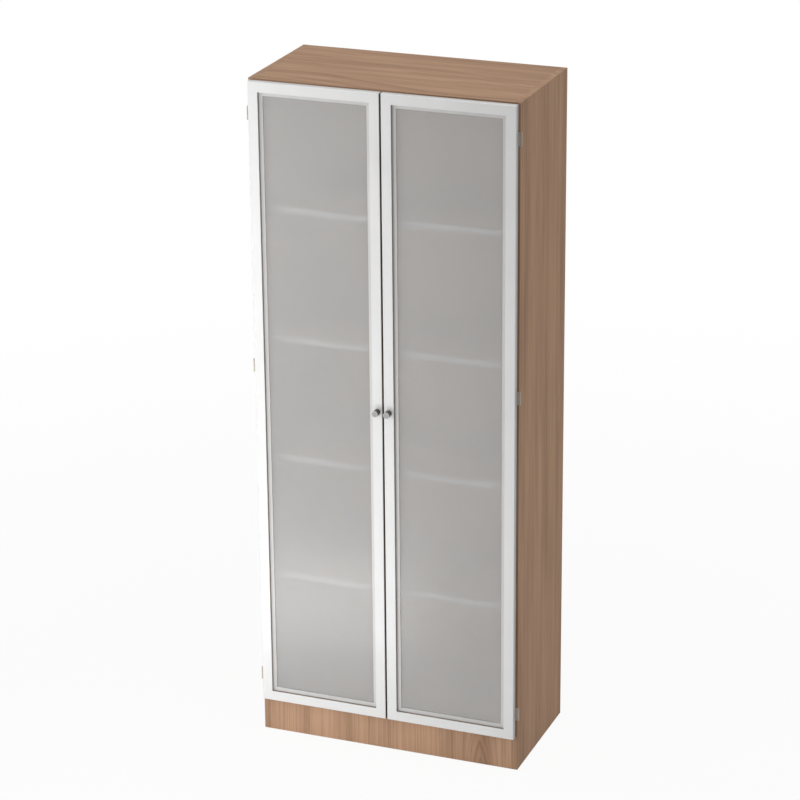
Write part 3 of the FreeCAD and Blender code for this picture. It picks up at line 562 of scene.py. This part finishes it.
# %% [markdown]
# ## Frosted panes
# The panes are etched glass: pale from the front, with the shelf edges showing through as soft light bands.
# Clear rough glass would show too much and plain paint nothing, so the shader transmits a little over three
# quarters and the rest scatters light back as the etched skin does, with a faint cloud in its gloss. A
# rougher coat on top carries the soft sheen, so the body can be smooth enough to keep the bands crisp.

# %% Etched glass
SKIN_SCALE = 5.0
SKIN_FAINT, SKIN_STRONG = 0.3, 0.7


def etched_skin():
    group, given, result = start_group("etched_skin", {"Vector": VECTOR, "Smooth": NUMBER, "Rough": NUMBER},
                                       {"Roughness": "Float"})
    cloud = noise(group, given["Vector"], SKIN_SCALE, 4.0)
    give(group, result,
         Roughness=remap(group, cloud, SKIN_FAINT, SKIN_STRONG, given["Smooth"], given["Rough"]))
    return group


def etched_glass(name):
    material, tree = start_material(name)
    place = put(tree, "TexCoord").outputs["Object"]
    skin = put_group(tree, etched_skin(), {"Vector": place, "Smooth": 0.20, "Rough": 0.25})
    shader = put(tree, "BsdfPrincipled", {"Base Color": (0.98, 0.972, 0.960, 1), "Transmission Weight": 0.77,
                                          "IOR": 1.5, "Roughness": skin["Roughness"],
                                          "Coat Weight": 1.0, "Coat IOR": 1.57, "Coat Roughness": 0.47})
    put(tree, "OutputMaterial", {"Surface": shader.outputs[0]})
    return material


frosted_pane = etched_glass("frosted_pane")
print("glass", frosted_pane.name)

# %% [markdown]
# ## Dress the CAD pieces
# Each CAD piece keeps its shape and takes a finish by its name. A table of name beginnings is shorter than
# one line for each of the pieces, and the longest beginning that fits wins.

# %% Finish table
FINISHES = {
    "side_panel": walnut_upright, "back_panel": walnut_upright, "plinth": walnut_plinth,
    "top_panel": walnut_across, "bottom_panel": walnut_across, "shelf": walnut_across,
    "shelf_pins": bright_zinc, "joint_dowels": beech_dowel,
    "hinge": hinge_lacquer, "hinge_screws": bright_zinc, "hinge_stile": frame_silver,
    "catch_housing": catch_grey, "catch_magnets": ferrite, "catch_screws": bright_zinc,
    "lock_stile": frame_silver, "top_rail": frame_silver, "bottom_rail": frame_silver,
    "corner_keys": cast_zinc, "glass_pane": frosted_pane, "glazing_gasket": gasket_black,
    "knob": nickel_painted_shade, "knob_screw": bright_zinc, "strike_plate": strike_steel, "strike_screw": bright_zinc,
}


def dress(piece, material):
    piece.data.materials.clear()
    piece.data.materials.append(material)


for name, piece in nodes.items():
    dress(piece, FINISHES[max((start for start in FINISHES if name.startswith(start)), key=len)])
print("dressed", len(nodes), "pieces with", len(set(FINISHES.values())), "finishes")

# %% [markdown]
# ## Turned knobs
# A knob is turned from bar: a narrow neck against the door, a straight body, a rounded rim and a face that is
# slightly dished. A cylinder with a bevel would lack the neck and the dish, so half of the section is drawn,
# and Spin turns it about the axis as a lathe would. The rim is bevelled after that, so its size is one
# number.

# %% Mesh helpers
SAME_POINT = 1e-6


def round_off(shape, edges, size, segments):
    bmesh.ops.bevel(shape, geom=edges, offset=size, offset_type="OFFSET", affect="EDGES", segments=segments,
                    profile=0.5, material=-1)


def finish_mesh(shape, name, materials, smooth=True):
    """Turn a bmesh into an object at the origin with its place in its mesh."""
    bmesh.ops.remove_doubles(shape, verts=shape.verts, dist=SAME_POINT)
    bmesh.ops.recalc_face_normals(shape, faces=shape.faces)
    for face in shape.faces:
        face.smooth = smooth
    mesh = bpy.data.meshes.new(name)
    shape.to_mesh(mesh)
    shape.free()
    for material in materials:
        mesh.materials.append(material)
    piece = bpy.data.objects.new(name, mesh)
    bpy.context.scene.collection.objects.link(piece)
    return piece


print("mesh helpers ready")

# %% Knob shape
NECK_INSET, NECK_LENGTH = 0.0012, 0.0010
RIM, RIM_SEGMENTS = 0.0013, 4
DISH, DISH_TURN, DISH_START = 0.0005, 0.72, 0.4
SPIN_STEPS = 48
NEAR_ENOUGH = 1e-5


def turned_knob(name, node, materials):
    low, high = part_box(node)
    axis = Vector(((low.x + high.x) / 2, high.y, (low.z + high.z) / 2))
    radius, length = (high.x - low.x) / 2, high.y - low.y
    section = [(0, 0), (radius - NECK_INSET, 0), (radius - NECK_INSET, NECK_LENGTH), (radius, NECK_LENGTH),
               (radius, length), (radius * DISH_TURN, length - DISH * DISH_START), (0, length - DISH)]
    shape = bmesh.new()
    corners = [shape.verts.new(axis + Vector((across, -along, 0))) for across, along in section]
    edges = [shape.edges.new(pair) for pair in zip(corners, corners[1:])]
    bmesh.ops.spin(shape, geom=corners + edges, cent=axis, axis=(0, 1, 0), angle=2 * math.pi,
                   steps=SPIN_STEPS, use_merge=True)
    bmesh.ops.remove_doubles(shape, verts=shape.verts, dist=SAME_POINT)

    def on_rim(vertex):
        out, along = (vertex.co - axis).xz.length, axis.y - vertex.co.y
        return abs(out - radius) < NEAR_ENOUGH and along > length - NEAR_ENOUGH

    round_off(shape, [edge for edge in shape.edges if all(map(on_rim, edge.verts))], RIM, RIM_SEGMENTS)
    for face in shape.faces:
        middle = face.calc_center_median() - axis
        face.material_index = 1 if -middle.y > length - RIM else 0
    return finish_mesh(shape, name, materials)


print("knob rim in mm", 1000 * RIM)

# %% [markdown]
# The face of a knob shows the rings of the lathe tool around its middle. Its rim is painted lighter, a
# painted highlight on the rounded edge, and its sides are painted dark, a painted dark reflection. The
# distance from the axis gives the rings. Both knobs sit at the same distance from the middle of the cabinet,
# so the sign of X is dropped and one material serves both.

# %% Knob face finish
RIM_WIDTH = 0.0024
TOOL_MARKS = 4200.0
FACE_SMOOTH, FACE_ROUGH = 0.28, 0.46


def lathe_rings(rim_start):
    group, given, result = start_group(
        "lathe_rings", {"Vector": VECTOR, "Middle": VECTOR, "Pale": COLOUR, "Deep": COLOUR, "Rim Highlight": COLOUR},
        PATTERN)
    folded = vector_calc(group, "ABSOLUTE", given["Vector"])
    apart = vector_calc(group, "SUBTRACT", folded, given["Middle"])
    radius = vector_calc(group, "LENGTH", vector_calc(group, "MULTIPLY", apart, (1, 0, 1)))
    ring = noise_along(group, radius, TOOL_MARKS)
    turned = mix_colour(group, ring, given["Pale"], given["Deep"])
    at_rim = calc(group, "GREATER_THAN", radius, rim_start)
    give(group, result, Color=mix_colour(group, at_rim, turned, given["Rim Highlight"]),
         Roughness=remap(group, ring, to_min=FACE_SMOOTH, to_max=FACE_ROUGH), Height=ring)
    return group


knob_low, knob_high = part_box("knob_right")
# The rim's lighter tone is a painted highlight.
face_tones = {"Middle": (knob_low + knob_high) / 2, "Pale": (0.44, 0.433, 0.424, 1),
              "Deep": (0.36, 0.354, 0.346, 1), "Rim Highlight": (0.52, 0.514, 0.505, 1)}
rings = lathe_rings((knob_high.x - knob_low.x) / 2 - RIM_WIDTH)
knob_face, face_shader = start_finish("turned_nickel", rings, face_tones, METAL_EDGE, METAL_RELIEF)
face_shader.inputs["Metallic"].default_value = 1.0
print("knob face", knob_face.name)

# %% Both knobs
for side in ("left", "right"):
    knob = turned_knob(f"turned_knob_{side}", f"knob_{side}", [nickel_painted_shade, knob_face])
    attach(knob, f"{side}_door")
    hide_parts(f"knob_{side}")
    print(knob.name, "faces", len(knob.data.polygons))

# %% [markdown]
# ## Shelf edges
# Through the frosted panes the four shelves show as bands that are lighter and greyer than walnut would be,
# so their front edges carry a thin strip of grey edging. It could be a colour on the board's own edge, but a
# real strip stands a little proud. It is a flat bar with its edges eased, as an edging machine leaves it: a
# stretched cube with a small bevel.

# %% Edging strips
EDGING, EASED, EASE_SEGMENTS = 0.0008, 0.75, 3
SHELVES = (1, 2, 3, 4)


def edging_strip(name, node):
    low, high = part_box(node)
    shape = bmesh.new()
    bmesh.ops.create_cube(shape, size=1)
    bmesh.ops.scale(shape, verts=shape.verts, vec=(high.x - low.x, EDGING, high.z - low.z))
    bmesh.ops.translate(shape, verts=shape.verts,
                        vec=((low.x + high.x) / 2, low.y - EDGING / 2, (low.z + high.z) / 2))
    front = [edge for edge in shape.edges if all(v.co.y < low.y - EDGING / 2 for v in edge.verts)]
    round_off(shape, front, EDGING * EASED, EASE_SEGMENTS)
    return finish_mesh(shape, name, [edging_grey], smooth=False)


for number in SHELVES:
    strip = edging_strip(f"shelf_edging_{number}", f"shelf_{number}")
    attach(strip, "carcass")
print("edging strips", len(SHELVES))
